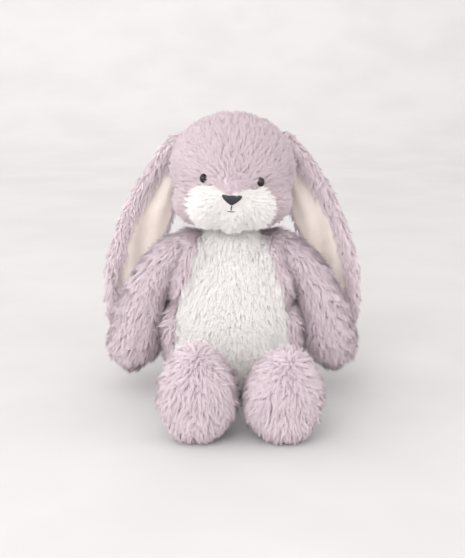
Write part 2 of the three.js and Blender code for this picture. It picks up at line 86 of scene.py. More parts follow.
def new_mesh(name, verts, groups, smooth=True):
    """A mesh from arrays: groups is a list of (n, 3) or (n, 4) arrays of faces."""
    mesh = bpy.data.meshes.new(name)
    groups = [g for g in groups if len(g)]
    loops = np.concatenate([g.ravel() for g in groups])
    sizes = np.concatenate([np.full(len(g), g.shape[1]) for g in groups])
    starts = np.concatenate([[0], np.cumsum(sizes)[:-1]])
    mesh.vertices.add(len(verts))
    mesh.vertices.foreach_set("co", np.asarray(verts, np.float32).ravel())
    mesh.loops.add(len(loops))
    mesh.loops.foreach_set("vertex_index", loops.astype(np.int32))
    mesh.polygons.add(len(sizes))
    mesh.polygons.foreach_set("loop_start", starts.astype(np.int32))
    mesh.polygons.foreach_set("use_smooth", np.full(len(sizes), smooth))
    mesh.update(calc_edges=True)
    return mesh


def new_object(name, mesh, material):
    obj = bpy.data.objects.new(name, mesh)
    bpy.context.scene.collection.objects.link(obj)
    if material:
        mesh.materials.append(material)
    return obj


def unit(v):
    return v / np.maximum(np.linalg.norm(v, axis=-1, keepdims=True), 1e-12)


def edges_of(quads):
    pairs = np.concatenate([quads[:, [i, (i + 1) % 4]] for i in range(4)])
    return np.unique(np.sort(pairs, axis=1), axis=0)


def grid_quads(rows, cols):
    """The faces of a grid of vertices laid out row by row."""
    i, k = np.meshgrid(np.arange(rows - 1), np.arange(cols - 1), indexing="ij")
    a = i * cols + k
    return np.stack([a, a + 1, a + cols + 1, a + cols], -1).reshape(-1, 4)


def grid_sides(rows, cols):
    """The faces that join the rims of two such grids, the second numbered after the first."""
    rim = np.concatenate(
        [
            np.arange(cols),
            np.arange(1, rows) * cols + cols - 1,
            (rows - 1) * cols + np.arange(cols - 2, -1, -1),
            np.arange(rows - 2, 0, -1) * cols,
        ]
    )
    after = np.roll(rim, -1)
    shift = rows * cols
    return np.stack([rim, after, after + shift, rim + shift], 1)


TURNED = [0, 3, 2, 1]  # the order of a quad's corners that makes it face the other way


def neighbour_mean(values, edges, count):
    """The mean of each vertex's neighbours."""
    total = np.zeros_like(values)
    degree = np.zeros(count)
    for a, b in ((0, 1), (1, 0)):
        for axis in range(values.shape[1]):
            total[:, axis] += np.bincount(
                edges[:, a], values[edges[:, b], axis], minlength=count
            )
        degree += np.bincount(edges[:, a], minlength=count)
    return total / np.maximum(degree, 1)[:, None]


def smoothed(verts, edges, rounds):
    """Rounds off facets without shrinking the form."""
    for step in range(2 * rounds):
        pull = 0.6 if step % 2 == 0 else -0.62
        verts = verts + pull * (neighbour_mean(verts, edges, len(verts)) - verts)
    return verts


def normals_of(verts, quads):
    """Smooth vertex normals of a quad mesh."""
    across = verts[quads[:, 2]] - verts[quads[:, 0]]
    other = verts[quads[:, 3]] - verts[quads[:, 1]]
    face = np.cross(across, other)
    total = np.zeros_like(verts)
    for corner in range(4):
        for axis in range(3):
            total[:, axis] += np.bincount(
                quads[:, corner], face[:, axis], minlength=len(verts)
            )
    return unit(total)


def largest_shell(verts, quads):
    """Keeps the one connected surface with the widest box, which is the outside."""
    edges = edges_of(quads)
    label = np.arange(len(verts))
    while True:
        low = label.copy()
        np.minimum.at(low, edges[:, 0], label[edges[:, 1]])
        np.minimum.at(low, edges[:, 1], label[edges[:, 0]])
        low = low[low]
        if np.array_equal(low, label):
            break
        label = low
    best = max(
        np.unique(label), key=lambda k: np.ptp(verts[label == k], axis=0).sum()
    )
    keep = label == best
    renumber = np.cumsum(keep) - 1
    return verts[keep], renumber[quads[keep[quads[:, 0]]]]


def ellipsoid(centre, half, rings=12, sides=20):
    """A closed ellipsoid's vertices and faces, for swelling a form before it is skinned."""
    verts = [centre + np.array([0, 0, -half[2]])]
    for i in range(1, rings):
        v = -math.pi / 2 + math.pi * i / rings
        for k in range(sides):
            u = 2 * math.pi * k / sides
            offset = (math.cos(v) * math.cos(u), math.cos(v) * math.sin(u), math.sin(v))
            verts.append(centre + half * np.array(offset))
    verts.append(centre + np.array([0, 0, half[2]]))
    faces = []
    for k in range(sides):
        n = (k + 1) % sides
        faces.append([0, 1 + n, 1 + k])
        for i in range(rings - 2):
            a = 1 + i * sides
            faces.append([a + k, a + n, a + sides + n, a + sides + k])
        top = 1 + (rings - 2) * sides
        faces.append([top + k, top + n, len(verts) - 1])
    return np.array(verts), faces


def skin(node_names, swells, pitch, inset, rounds=10):
    """The stuffed skin of some CAD nodes: their outside, closed, rounded and drawn in by the
    depth of the pile. swells are (centre, half sizes) of plump places."""
    verts, faces = [], []
    for name in node_names:
        v, f = read_mesh(NODES[name].data)
        shift = sum(len(x) for x in verts)
        verts.append(v)
        faces += [list(p + shift) for p in f]
    for centre, half in swells:
        v, f = ellipsoid(centre, np.array(half) * MM)
        shift = sum(len(x) for x in verts)
        verts.append(v)
        faces += [[i + shift for i in p] for p in f]
    mesh = bpy.data.meshes.new("form")
    mesh.from_pydata(np.concatenate(verts).tolist(), [], faces)
    form = new_object("form", mesh, None)
    remesh = form.modifiers.new("remesh", "REMESH")
    remesh.mode = "VOXEL"
    remesh.voxel_size = pitch * MM
    graph = bpy.context.evaluated_depsgraph_get()
    made = bpy.data.meshes.new_from_object(form.evaluated_get(graph))
    v, f = read_mesh(made)
    bpy.data.objects.remove(form)
    v, q = largest_shell(v, np.array(f))
    v = smoothed(v, edges_of(q), rounds)
    for _ in range(4):  # drawn in a little at a time, so that folds don't cross
        v = v - normals_of(v, q) * (inset * MM / 4)
        v = smoothed(v, edges_of(q), 1)
    return v, q


# ------------------------------------------------------------------ noise


class Drift:
    """A smooth seeded field of vectors: a few plane waves at each wavelength."""

    def __init__(self, seed, wavelength, waves=10):
        rng = np.random.default_rng(seed)
        way = unit(rng.normal(size=(waves, 3)))
        self.k = way * (2 * math.pi / (wavelength * MM)) * rng.uniform(0.7, 1.4, (waves, 1))
        self.phase = rng.uniform(0, 2 * math.pi, (3, waves))
        self.scale = math.sqrt(2 / waves)

    def __call__(self, points):
        turns = points @ self.k.T
        return np.stack(
            [np.sin(turns + p).sum(1) * self.scale for p in self.phase], axis=1
        )


# ------------------------------------------------------------------ pile


def above_floor(height):
    """Heights pressed smoothly up off the floor, so that pile under the toy lies flat on it."""
    soft, least = 1.2 * MM, 0.3 * MM
    pressed = least + soft * np.exp((height - least - soft) / soft)
    return np.where(height < least + soft, pressed, height)


def lock_mesh(name, roots, normals, combed, length, width, tone, curl, softness, shade):
    """One mesh of three-sided tapered locks. Each bends from the skin's normal towards its
    combed way. Its UVs say where a point is: u the lock's tone, v from root to tip. softness
    is how far a lock is shaded like the skin under it, as a bundle of fine fibres is; shade
    holds the skin's normals for that."""
    count = len(roots)
    length, width = length[:, None] * MM, width[:, None] * MM / 2
    rise = unit(normals + combed * 0.45)
    lie = unit(normals * 0.45 + combed + curl)
    base = roots - normals * 0.8 * MM
    mid = base + rise * length * 0.52
    tip = mid + lie * length * 0.56
    side = unit(np.cross(normals, combed))
    front = unit(np.cross(side, rise))
    rings = []
    for centre, swell in ((base, 0.85), (mid, 1.0)):
        for k in range(3):
            a = 2 * math.pi * k / 3 + 0.5
            offset = side * math.cos(a) - front * math.sin(a) * 0.8
            rings.append(centre + offset * width * swell)
    verts = np.stack(rings + [tip], axis=1).reshape(-1, 3)
    verts[:, 2] = above_floor(verts[:, 2])
    first = np.arange(count)[:, None] * 7
    quads = np.concatenate(
        [first + np.array([k, (k + 1) % 3, 3 + (k + 1) % 3, 3 + k]) for k in range(3)]
    )
    tris = np.concatenate(
        [first + np.array([3 + k, 3 + (k + 1) % 3, 6]) for k in range(3)]
        + [first + np.array([0, 2, 1])]
    )
    mesh = new_mesh(name, verts, [quads, tris])
    u = np.repeat(tone, 7) * 0.96 + np.tile([0.0, 0.02, 0.04, 0.0, 0.02, 0.04, 0.02], count)
    v = np.tile([0.0, 0.0, 0.0, 0.52, 0.52, 0.52, 1.0], count)
    corners = np.concatenate([quads.ravel(), tris.ravel()])
    layer = mesh.uv_layers.new(name="OFBake")
    layer.data.foreach_set(
        "uv", np.stack([u[corners], v[corners]], 1).astype(np.float32).ravel()
    )
    own = np.empty(len(verts) * 3)
    mesh.vertex_normals.foreach_get("vector", own)
    softness = np.repeat(softness, 7)[:, None]
    soft = unit(own.reshape(-1, 3) * (1 - softness) + np.repeat(shade, 7, 0) * softness)
    mesh.normals_split_custom_set_from_vertices(soft)
    return mesh


def grow(name, points, normals, flow, look, material, seed):
    """Pile on some skin points, one clump to a point. flow is the combed way at each point;
    look holds the pile's length, its lean, how far clumps part, and the locks in a clump."""
    rng = np.random.default_rng(seed)
    n = len(points)
    parting = Drift(seed + 1, look["tuft"])(points) + 0.6 * Drift(seed + 2, 5.5)(points)
    way = flow + parting * look["parting"] + rng.normal(size=(n, 3)) * look["stray"]
    way = unit(way - normals * (way * normals).sum(1, keepdims=True))
    lean = look["lean"] * rng.uniform(0.75, 1.25, (n, 1))
    lean = lean * np.reshape(look.get("stand", 1.0), (-1, 1))
    length = look["length"] * rng.uniform(0.8, 1.18, n) * look.get("trim", 1.0)
    tone = rng.uniform(0, 1, n)
    per = max(3, round(look["locks"] * STRAND_SHARE))
    pick = np.repeat(np.arange(n), per)
    m = len(pick)
    other = np.cross(normals, way)
    angle = rng.uniform(0, 2 * math.pi, m)
    reach = np.sqrt(rng.uniform(0, 1, m)) * look["clump"] * MM
    spread = (
        way[pick] * (np.cos(angle) * reach)[:, None]
        + other[pick] * (np.sin(angle) * reach)[:, None]
    )
    roots = points[pick] + spread
    gather = -spread / (look["length"] * MM) * 0.9
    wild = rng.normal(size=(m, 3)) * look["frizz"]
    thick = look["width"] / math.sqrt(STRAND_SHARE)
    mesh = lock_mesh(
        name,
        roots,
        normals[pick],
        unit(way[pick] * lean[pick] + gather + wild * 0.5) * np.clip(lean[pick], 0.3, 1.6),
        length[pick] * rng.uniform(0.78, 1.1, m),
        thick * rng.uniform(0.7, 1.25, m),
        np.clip(tone[pick] + rng.normal(size=m) * 0.1, 0, 1),
        gather + wild,
        np.broadcast_to(look["softness"], n)[pick],
        look.get("shade", normals)[pick],
    )
    return new_object(name, mesh, material)


# ------------------------------------------------------------------ materials


def material(name):
    mat = bpy.data.materials.new(name)
    mat.use_nodes = True
    nodes = mat.node_tree.nodes
    shader = nodes["Principled BSDF"]
    return mat, nodes, mat.node_tree.links, shader


def ramp(nodes, stops):
    node = nodes.new("ShaderNodeValToRGB")
    node.color_ramp.interpolation = "EASE"
    while len(node.color_ramp.elements) < len(stops):
        node.color_ramp.elements.new(0.5)
    for element, (place, colour) in zip(node.color_ramp.elements, stops):
        element.position = place
        element.color = (*colour, 1)
    return node


def set_sheen(shader, weight, roughness, tint):
    shader.inputs["Sheen Weight"].default_value = weight
    shader.inputs["Sheen Roughness"].default_value = roughness
    shader.inputs["Sheen Tint"].default_value = (*tint, 1)


def pile_material(name, root, body, tip, dim, sheen):
    """Long pile, coloured by how far up its lock a point is and by the lock's own tone: darker
    towards the root is painted shade deep in the pile, lighter at the tip is painted light.
    """
    mat, nodes, links, shader = material(name)
    where = nodes.new("ShaderNodeUVMap")
    where.uv_map = "OFBake"
    split = nodes.new("ShaderNodeSeparateXYZ")
    links.new(where.outputs["UV"], split.inputs[0])
    # painted shade at the root and painted light at the tip of each lock
    height = ramp(nodes, [(0.0, root), (0.42, body), (1.0, tip)])
    links.new(split.outputs["Y"], height.inputs[0])
    tone = ramp(nodes, [(0.0, (dim, dim, dim)), (1.0, (1, 1, 1))])
    links.new(split.outputs["X"], tone.inputs[0])
    mix = nodes.new("ShaderNodeMix")
    mix.data_type = "RGBA"
    mix.blend_type = "MULTIPLY"
    mix.inputs["Factor"].default_value = 1
    links.new(height.outputs[0], mix.inputs["A"])
    links.new(tone.outputs[0], mix.inputs["B"])
    links.new(mix.outputs["Result"], shader.inputs["Base Color"])
    shader.inputs["Roughness"].default_value = 0.85
    shader.inputs["Specular IOR Level"].default_value = 0.25
    set_sheen(shader, sheen, 0.5, tip)
    return mat


def noise_colour(nodes, links, scale, detail, stops):
    """A colour that wanders between stops with the place on the object."""
    where = nodes.new("ShaderNodeTexCoord")
    noise = nodes.new("ShaderNodeTexNoise")
    noise.inputs["Scale"].default_value = scale
    noise.inputs["Detail"].default_value = detail
    links.new(where.outputs["Object"], noise.inputs["Vector"])
    colour = ramp(nodes, stops)
    links.new(noise.outputs["Fac"], colour.inputs[0])
    return where, noise, colour


def cloth_material(name, dark, light, scale, bump, roughness, sheen):
    """Close cloth: a wandering colour over a fine even bump."""
    mat, nodes, links, shader = material(name)
    where, noise, colour = noise_colour(
        nodes, links, scale, 4, [(0.3, dark), (0.7, light)]
    )
    links.new(colour.outputs[0], shader.inputs["Base Color"])
    grain = nodes.new("ShaderNodeTexNoise")
    grain.inputs["Scale"].default_value = 2600
    grain.inputs["Detail"].default_value = 2
    links.new(where.outputs["Object"], grain.inputs["Vector"])
    raised = nodes.new("ShaderNodeBump")
    raised.inputs["Strength"].default_value = bump
    raised.inputs["Distance"].default_value = 0.0004
    links.new(grain.outputs["Fac"], raised.inputs["Height"])
    links.new(raised.outputs["Normal"], shader.inputs["Normal"])
    shader.inputs["Roughness"].default_value = roughness
    set_sheen(shader, sheen, 0.4, light)
    return mat


def thread_material(name, dark, light, roughness):
    """Embroidery thread: a tight twist seen as fine slanted bands."""
    mat, nodes, links, shader = material(name)
    where = nodes.new("ShaderNodeTexCoord")
    bands = nodes.new("ShaderNodeTexWave")
    bands.wave_type = "BANDS"
    bands.bands_direction = "DIAGONAL"
    bands.inputs["Scale"].default_value = 420
    bands.inputs["Distortion"].default_value = 1.5
    links.new(where.outputs["Object"], bands.inputs["Vector"])
    colour = ramp(nodes, [(0.1, dark), (0.9, light)])
    links.new(bands.outputs["Fac"], colour.inputs[0])
    links.new(colour.outputs[0], shader.inputs["Base Color"])
    raised = nodes.new("ShaderNodeBump")
    raised.inputs["Strength"].default_value = 0.4
    raised.inputs["Distance"].default_value = 0.0002
    links.new(bands.outputs["Fac"], raised.inputs["Height"])
    links.new(raised.outputs["Normal"], shader.inputs["Normal"])
    shader.inputs["Roughness"].default_value = roughness
    set_sheen(shader, 0.3, 0.3, light)
    return mat


def eye_material():
    mat, nodes, links, shader = material("eye_gloss")
    _, _, colour = noise_colour(
        nodes, links, 900, 2, [(0.35, (0.004, 0.004, 0.005)), (0.65, (0.009, 0.008, 0.009))]
    )
    links.new(colour.outputs[0], shader.inputs["Base Color"])
    shader.inputs["Roughness"].default_value = 0.06
    shader.inputs["Specular IOR Level"].default_value = 0.3
    shader.inputs["Coat Weight"].default_value = 0.25
    shader.inputs["Coat Roughness"].default_value = 0.03
    return mat


LILAC = pile_material(
    "lilac_pile", (0.63, 0.50, 0.565), (0.69, 0.565, 0.62), (0.77, 0.665, 0.71), 0.93, 0.3
)
LILAC_SHADED = pile_material(  # the head's, brushed short; a darker copy of the lilac pile: painted shade
    "lilac_shaded_pile", (0.57, 0.45, 0.51), (0.62, 0.505, 0.555), (0.69, 0.59, 0.63), 0.93, 0.3
)
LILAC_LIT = pile_material(  # the ears': a lighter copy of the lilac pile, painted light for the light that shines through the thin ears
    "lilac_lit_pile", (0.72, 0.58, 0.645), (0.79, 0.66, 0.715), (0.87, 0.765, 0.81), 0.95, 0.4
)
WHITE = pile_material(
    "white_pile", (0.82, 0.78, 0.75), (0.88, 0.85, 0.825), (0.92, 0.90, 0.88), 0.97, 0.3
)
WHITE_LIT = pile_material(  # the belly's: a lighter copy of the white pile, painted light that lifts the shade on the belly
    "white_lit_pile", (0.88, 0.845, 0.82), (0.92, 0.895, 0.87), (0.95, 0.93, 0.91), 0.98, 0.4
)
LILAC_SKIN = cloth_material(
    "lilac_backing", (0.70, 0.565, 0.63), (0.76, 0.63, 0.69), 60, 0.5, 0.95, 0.2
)
WHITE_SKIN = cloth_material(
    "white_backing", (0.88, 0.84, 0.81), (0.92, 0.89, 0.865), 60, 0.5, 0.95, 0.2
)
LINING = cloth_material(
    "ear_lining_velour", (0.84, 0.75, 0.68), (0.90, 0.825, 0.765), 45, 0.35, 0.8, 0.4
)
NOSE = thread_material("nose_thread", (0.013, 0.013, 0.018), (0.04, 0.04, 0.052), 0.55)
SEAM = thread_material("seam_thread", (0.45, 0.34, 0.40), (0.62, 0.50, 0.56), 0.7)
LABEL = cloth_material("label_satin", (0.80, 0.78, 0.75), (0.86, 0.85, 0.82), 30, 0.2, 0.45, 0.3)
EYE = eye_material()

# ------------------------------------------------------------------ skins and pile on them

NOSE_POINT = at(0, -62, 184)
HEAD_MIDDLE_Z = 201.5  # in millimetres
WHITE_BACK_Y = at(0, -6, 0)[1]  # how far back the white plush goes on the head and the torso
ROLL = math.radians(3.5)  # the head hangs a little to its own left


def tangent(way, normals):
    return unit(way - normals * (way * normals).sum(1, keepdims=True))


def head_flow(points, normals):
    """Away from the nose over the whole head, and a little down over its back."""
    way = unit(points - NOSE_POINT)
    back = np.clip((points[:, 1:2] - MIDDLE_Y) / (40 * MM), 0, 1)
    way = way + back * np.array([0, 0, -1.2])
    x = points[:, 0] / MM
    high = np.clip((points[:, 2] / MM - 225) / 20, 0, 1)
    way[:, 0] += np.sign(x) * 0.35 * np.exp(-((x / 5) ** 2)) * high  # parts at the crown's seam
    return tangent(way, normals)


def torso_flow(points, normals):
    way = np.tile(np.array([0.0, -0.1, -1.0]), (len(points), 1))
    way[:, 0] = (points[:, 0]) / (60 * MM) * 0.25
    return tangent(way, normals)


def arm_flow(points, normals):
    side = np.sign(points[:, :1])
    way = np.concatenate([side * 0.45, -0.25 * np.ones_like(side), -np.ones_like(side)], 1)
    return tangent(way, normals)


WHORLS = {"left": at(46, -158, 54), "right": at(-27, -156, 61)}
FOOT_MIDDLE = {"left": 42, "right": -29}
FOOT_SINK = {"left": 0.09, "right": 0.04}  # how much lower each sagging foot is than its form
ANKLE_Y = at(0, -112, 0)[1]


def leg_flow(side):
    def flow(points, normals):
        foot = np.clip((ANKLE_Y - points[:, 1:2]) / (14 * MM), 0, 1)
        along = np.array([0, -1.0, -0.35])
        away = points - WHORLS[side]
        reach = np.linalg.norm(away, axis=1, keepdims=True) + 16 * MM
        spin = away / reach + np.array([0, 0, -0.62])
        return tangent(along * (1 - foot) + spin * foot, normals)

    return flow


def tail_flow(points, normals):
    return tangent(np.tile([0.0, 0.3, -1.0], (len(points), 1)), normals)


def look(
    length, lean, locks, width, clump, tuft, parting, stray, frizz, softness, frontal=0.0
):
    """How some pile looks. Lengths, widths and the sizes of clumps and tufts are in millimetres.
    frontal is how far its shading normals are turned towards the front."""
    return {
        "length": length,
        "lean": lean,
        "locks": locks,
        "width": width,
        "clump": clump,
        "tuft": tuft,
        "parting": parting,
        "stray": stray,
        "frizz": frizz,
        "softness": softness,
        "frontal": frontal,
    }


LONG = look(11.0, 1.05, 8, 0.56, 1.9, 12, 0.27, 0.13, 0.08, 0.82)
HEAD = look(9.0, 1.15, 12, 0.42, 1.9, 12, 0.17, 0.10, 0.06, 0.78)
SOLE = look(9.0, 1.05, 11, 0.46, 1.9, 11, 0.2, 0.12, 0.08, 0.86)
SOFT = look(9.0, 1.45, 12, 0.4, 2.6, 22, 0.04, 0.04, 0.05, 0.94, frontal=0.7)
CHEEK = look(8.5, 0.8, 12, 0.38, 2.1, 18, 0.10, 0.12, 0.11, 0.82, frontal=0.5)
EAR = look(8.5, 1.1, 11, 0.45, 1.9, 11, 0.18, 0.11, 0.07, 0.88)

def towards_front(normals, share):
    """Normals turned some way towards the front, where a thin or loose part is evenly lit."""
    return unit(normals + share * np.array([0, -1.0, 0.12]))


def spots(verts, quads, normals, pitch, seed):
    """One jittered point to a face of a skin, with its normal."""
    rng = np.random.default_rng(seed)
    centre = verts[quads].mean(1)
    normal = unit(normals[quads].mean(1))
    jitter = rng.normal(size=centre.shape) * pitch * MM * 0.3
    jitter -= normal * (jitter * normal).sum(1, keepdims=True)
    return centre + jitter, normal


def skin_object(name, verts, quads, white_faces):
    obj = new_object(name, new_mesh(name, verts, [quads]), LILAC_SKIN)
    if white_faces is not None:
        obj.data.materials.append(WHITE_SKIN)
        obj.data.polygons.foreach_set("material_index", white_faces.astype(np.int32))
    return obj


def attach(obj, body, slot, *nodes):
    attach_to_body(obj, body)
    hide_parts(*nodes)


def cross(obj, parent, child, start, end, slot, *nodes):
    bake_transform(obj)
    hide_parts(*nodes)


# ---- head

# The roots of the white pile on the face, right half, from the head's middle: two cheeks
# with a dip between them under the bridge of the nose. The pile reaches further out.
MUZZLE = [(0, -17), (6, -14.5), (13, -11.5), (22, -11), (29, -15), (33.5, -24), (32, -34)]
MUZZLE += [(25, -43), (13, -50), (0, -51)]
MUZZLE += [(-x, z) for x, z in MUZZLE[-2:0:-1]]

# Half the width of the belly's white pile at some heights, at its roots.
BELLY = [(0, 36), (20, 46), (52, 49), (73, 46.5), (98, 43), (126, 34), (148, 24)]


def inside(outline, x, z):
    """Whether points lie inside a closed outline."""
    found = np.zeros(len(x), bool)
    for (x0, z0), (x1, z1) in zip(outline, outline[1:] + outline[:1]):
        if z0 == z1:
            continue
        crosses = (z0 > z) != (z1 > z)
        found ^= crosses & (x < x0 + (z - z0) * (x1 - x0) / (z1 - z0))
    return found


EYES = {"left": NODES["eye_left"], "right": NODES["eye_right"]}


def eye_axis(side):
    """Where an eye's dome is, and the way it looks: from its shank's end to its front."""
    v, _ = read_mesh(EYES[side].data)
    away = unit(v.mean(0) - at(0, 0, 196))
    front = v[(v @ away).argmax()]
    back = v[(v @ away).argmin()]
    out = unit(front - back)
    return front - out * 3.9 * MM, out


def face_trim(points):
    """How much shorter the pile is about the eyes and the nose."""
    trim = np.ones(len(points))
    for side in ("left", "right"):
        centre, _ = eye_axis(side)
        gap = np.linalg.norm(points - centre, axis=1) / MM
        trim *= np.clip((gap - 1) / 8, 0.75, 1)
    gap = np.linalg.norm(points - at(0, -57, 182), axis=1) / MM
    return trim * np.clip((gap - 2) / 22, 0.5, 1)


def head():
    panels = ["head_left_panel", "head_right_panel", "muzzle_panel"]
    cheeks = [(at(s * 18, -37, 172), (21, 18, 20)) for s in (1, -1)]
    cheeks += [(at(s * 25, -14, 174), (28, 30, 24)) for s in (1, -1)]
    cheeks += [(at(0, -36, 165), (19, 18, 16))]
    cheeks += [(at(0, 5, 162), (36, 34, 18))]  # the gathered neck
    pitch, inset = 2.6, 6.0
    v, q = skin(panels + ["head_stuffing"], cheeks, pitch, inset)
    v = v + normals_of(v, q) * (1 - face_trim(v))[:, None] * inset * MM  # less where it is short
    for side in ("left", "right"):  # the eyes are drawn in, each in its own dimple
        centre, out = eye_axis(side)
        gap = np.linalg.norm(v - centre, axis=1) / MM
        v = v - out * (2.6 * np.exp(-((gap / 4.2) ** 2)))[:, None] * MM
    v[:, 2] -= 0.055 * np.maximum(v[:, 2] - at(0, 0, 202)[2], 0)  # a low, broad crown
    normals = normals_of(v, q)
    points, n = spots(v, q, normals, pitch, seed=11)
    x, z = points[:, 0] / MM, points[:, 2] / MM - HEAD_MIDDLE_Z
    across = x * math.cos(ROLL) - z * math.sin(ROLL)
    up = x * math.sin(ROLL) + z * math.cos(ROLL)
    white = inside(MUZZLE, across, up) & (points[:, 1] < WHITE_BACK_Y)
    obj = skin_object("head_skin", v, q, white)
    attach(obj, "head", "lilac_plush", "head_stuffing", "eye_washer_left", "eye_washer_right")
    flow = head_flow(points, n)
    trim = face_trim(points)
    bare = np.linalg.norm((points - at(0, -50, 180.3)) / MM / np.array([8, 12, 3.6]), axis=1) < 1
    for side in ("left", "right"):
        centre, _ = eye_axis(side)
        inward = unit(NOSE_POINT - centre)  # the locks on this side would lie over the eye
        for shift, radius in ((0, 4.1), (2.4, 4.0), (4.6, 3.2)):
            bare |= np.linalg.norm(points - centre - inward * shift * MM, axis=1) < radius * MM
    right_side = points[:, 0] < 0
    # the crown's pile lies towards the back, so there each lock is shaded more for itself
    crown = np.clip((n[:, 2] - 0.5) / 0.3, 0, 1)
    crown *= np.clip((points[:, 1] - at(0, -28, 0)[1]) / (20 * MM), 0, 1)
    # the head's lilac pile is the darker copy of the lilac: painted shade
    fur, cheek = (HEAD, LILAC_SHADED, "lilac_plush"), (CHEEK, WHITE, "white_plush")
    for name, chosen, (style, mat, slot_name), node in (
        ("head_pile_left", ~white & ~right_side, fur, "head_left_panel"),
        ("head_pile_right", ~white & right_side, fur, "head_right_panel"),
        ("muzzle_pile", white, cheek, "muzzle_panel"),
    ):
        use = chosen & ~bare
        shade = towards_front(n, style["frontal"])
        softness = style["softness"] * (1 - 0.6 * crown[use])
        styled = {**style, "trim": trim[use], "shade": shade[use], "softness": softness}
        made = grow(name, points[use], n[use], flow[use], styled, mat, 100 + len(name))
        attach(made, "head", slot_name, node)


def torso():
    panels = ["torso_left_panel", "torso_right_panel", "belly_panel", "seat_panel"]
    plump = [(at(s * 33, 0, 124), (19, 26, 22)) for s in (1, -1)]
    plump += [(at(s * 41, -2, 98), (17, 27, 28)) for s in (1, -1)]
    plump += [(at(s * 54, -4, 52), (12, 26, 30)) for s in (1, -1)]
    plump += [(at(s * 30, -30, 32), (26, 18, 26)) for s in (1, -1)]
    plump += [(at(0, -3, 132), (31, 28, 24))]
    plump += [(at(0, -34, 42), (42, 29, 40))]
    pitch = 2.7
    v, q = skin(panels + ["torso_stuffing"], plump, pitch, inset=5.0, rounds=20)
    v[:, 2] = np.maximum(v[:, 2], 0.6 * MM)
    normals = normals_of(v, q)
    points, n = spots(v, q, normals, pitch, seed=12)
    half = np.interp(points[:, 2] / MM, *zip(*BELLY))
    white = (np.abs(points[:, 0]) / MM < half) & (points[:, 1] < WHITE_BACK_Y)
    obj = skin_object("torso_skin", v, q, white)
    attach(obj, "torso", "lilac_plush", "torso_stuffing", "pellet_pouch", "seat_panel")
    flow = torso_flow(points, n)
    under = points[:, 2] < 6 * MM
    right_side = points[:, 0] < 0
    # the belly's white pile is the lighter copy of the white: painted light
    fur, front = (LONG, LILAC, "lilac_plush"), (SOFT, WHITE_LIT, "white_plush")
    for name, chosen, (style, mat, slot_name), node in (
        ("torso_pile_left", ~white & ~right_side, fur, "torso_left_panel"),
        ("torso_pile_right", ~white & right_side, fur, "torso_right_panel"),
        ("belly_pile", white, front, "belly_panel"),
    ):
        use = chosen & ~under
        shade = towards_front(n, style["frontal"])
        styled = {**style, "shade": shade[use]}
        made = grow(name, points[use], n[use], flow[use], styled, mat, 200 + len(name))
        attach(made, "torso", slot_name, node)


PAW_RISE = {"left": 6.0, "right": 4.0}  # how far each paw is drawn up, in millimetres


def arm(side, sign):
    nodes = [f"arm_{side}_shell", f"arm_{side}_stuffing"]
    pitch = 2.6
    plump = [(at(sign * 38, 0, 131), (14, 15, 15))]
    v, q = skin(nodes, plump, pitch, inset=5.0)
    v[:, 2] += PAW_RISE[side] * MM * np.clip((62 * MM - v[:, 2]) / (45 * MM), 0, 1)
    normals = normals_of(v, q)
    points, n = spots(v, q, normals, pitch, seed=13)
    start, end = at(sign * 30, 0, 131), at(sign * 50, 0, 124)
    body = f"arm_{side}"
    obj = skin_object(f"arm_{side}_skin", v, q, None)
    cross(obj, "torso", body, start, end, "lilac_plush", nodes[1])
    use = np.abs(points[:, 0]) > 31 * MM
    flow = arm_flow(points, n)
    made = grow(f"arm_{side}_pile", points[use], n[use], flow[use], LONG, LILAC, 300 + sign)
    cross(made, "torso", body, start, end, "lilac_plush", nodes[0])


def leg(side, sign):
    nodes = [f"leg_{side}_shell", f"leg_{side}_stuffing", f"leg_{side}_sole"]
    pitch = 2.6
    plump = [(at(sign * 31, -52, 29), (20, 20, 21))]
    plump += [(at(FOOT_MIDDLE[side], -146, 20), (24, 17, 20))]
    v, q = skin(nodes, plump, pitch, inset=5.0)
    foot = step(at(0, -100, 0)[1], at(0, -130, 0)[1], v[:, 1])
    v[:, 2] *= 1 - FOOT_SINK[side] * foot - 0.12 * (1 - foot)
    near_middle = np.clip((47 * MM - np.abs(v[:, 0])) / (36 * MM), 0, 1)
    v[:, 0] += sign * 5 * MM * near_middle * (1 - foot)
    v[:, 2] = np.maximum(v[:, 2], 0.9 * MM)
    normals = normals_of(v, q)
    points, n = spots(v, q, normals, pitch, seed=14)
    start, end = at(sign * 30, -36, 31), at(sign * 30, -62, 31)
    body = f"leg_{side}"
    obj = skin_object(f"leg_{side}_skin", v, q, None)
    cross(obj, "torso", body, start, end, "lilac_plush", nodes[1])
    flow = leg_flow(side)(points, n)
    under = (points[:, 2] < 5 * MM) & (n[:, 2] < -0.5)
    sole = points[:, 1] < at(0, -139, 0)[1]
    crown = WHORLS[side] + np.array([0, 0, 10 * MM])
    stand = np.clip(np.linalg.norm(points - crown, axis=1) / (14 * MM), 0.35, 1)
    for part, chosen, style, node in (
        ("pile", ~sole, LONG, nodes[0]),
        ("sole_pile", sole, SOLE, nodes[2]),
    ):
        use = chosen & ~under
        styled = {**style, "stand": stand[use]}
        seed = 400 + sign + len(part)
        made = grow(f"leg_{side}_{part}", points[use], n[use], flow[use], styled, LILAC, seed)
        cross(made, "torso", body, start, end, "lilac_plush", node)


# ---- ears

EAR_PATH = [
    (36, 10, 231),
    (46, 14, 220),
    (60, 20, 196),
    (73, 26, 165),
    (85, 29, 132),
    (94, 31, 98),
    (98, 32, 66),
    (98, 32, 40),
]
EAR_HALF = [(0, 12), (0.18, 18), (0.42, 27), (0.68, 28), (0.88, 22), (1, 14)]


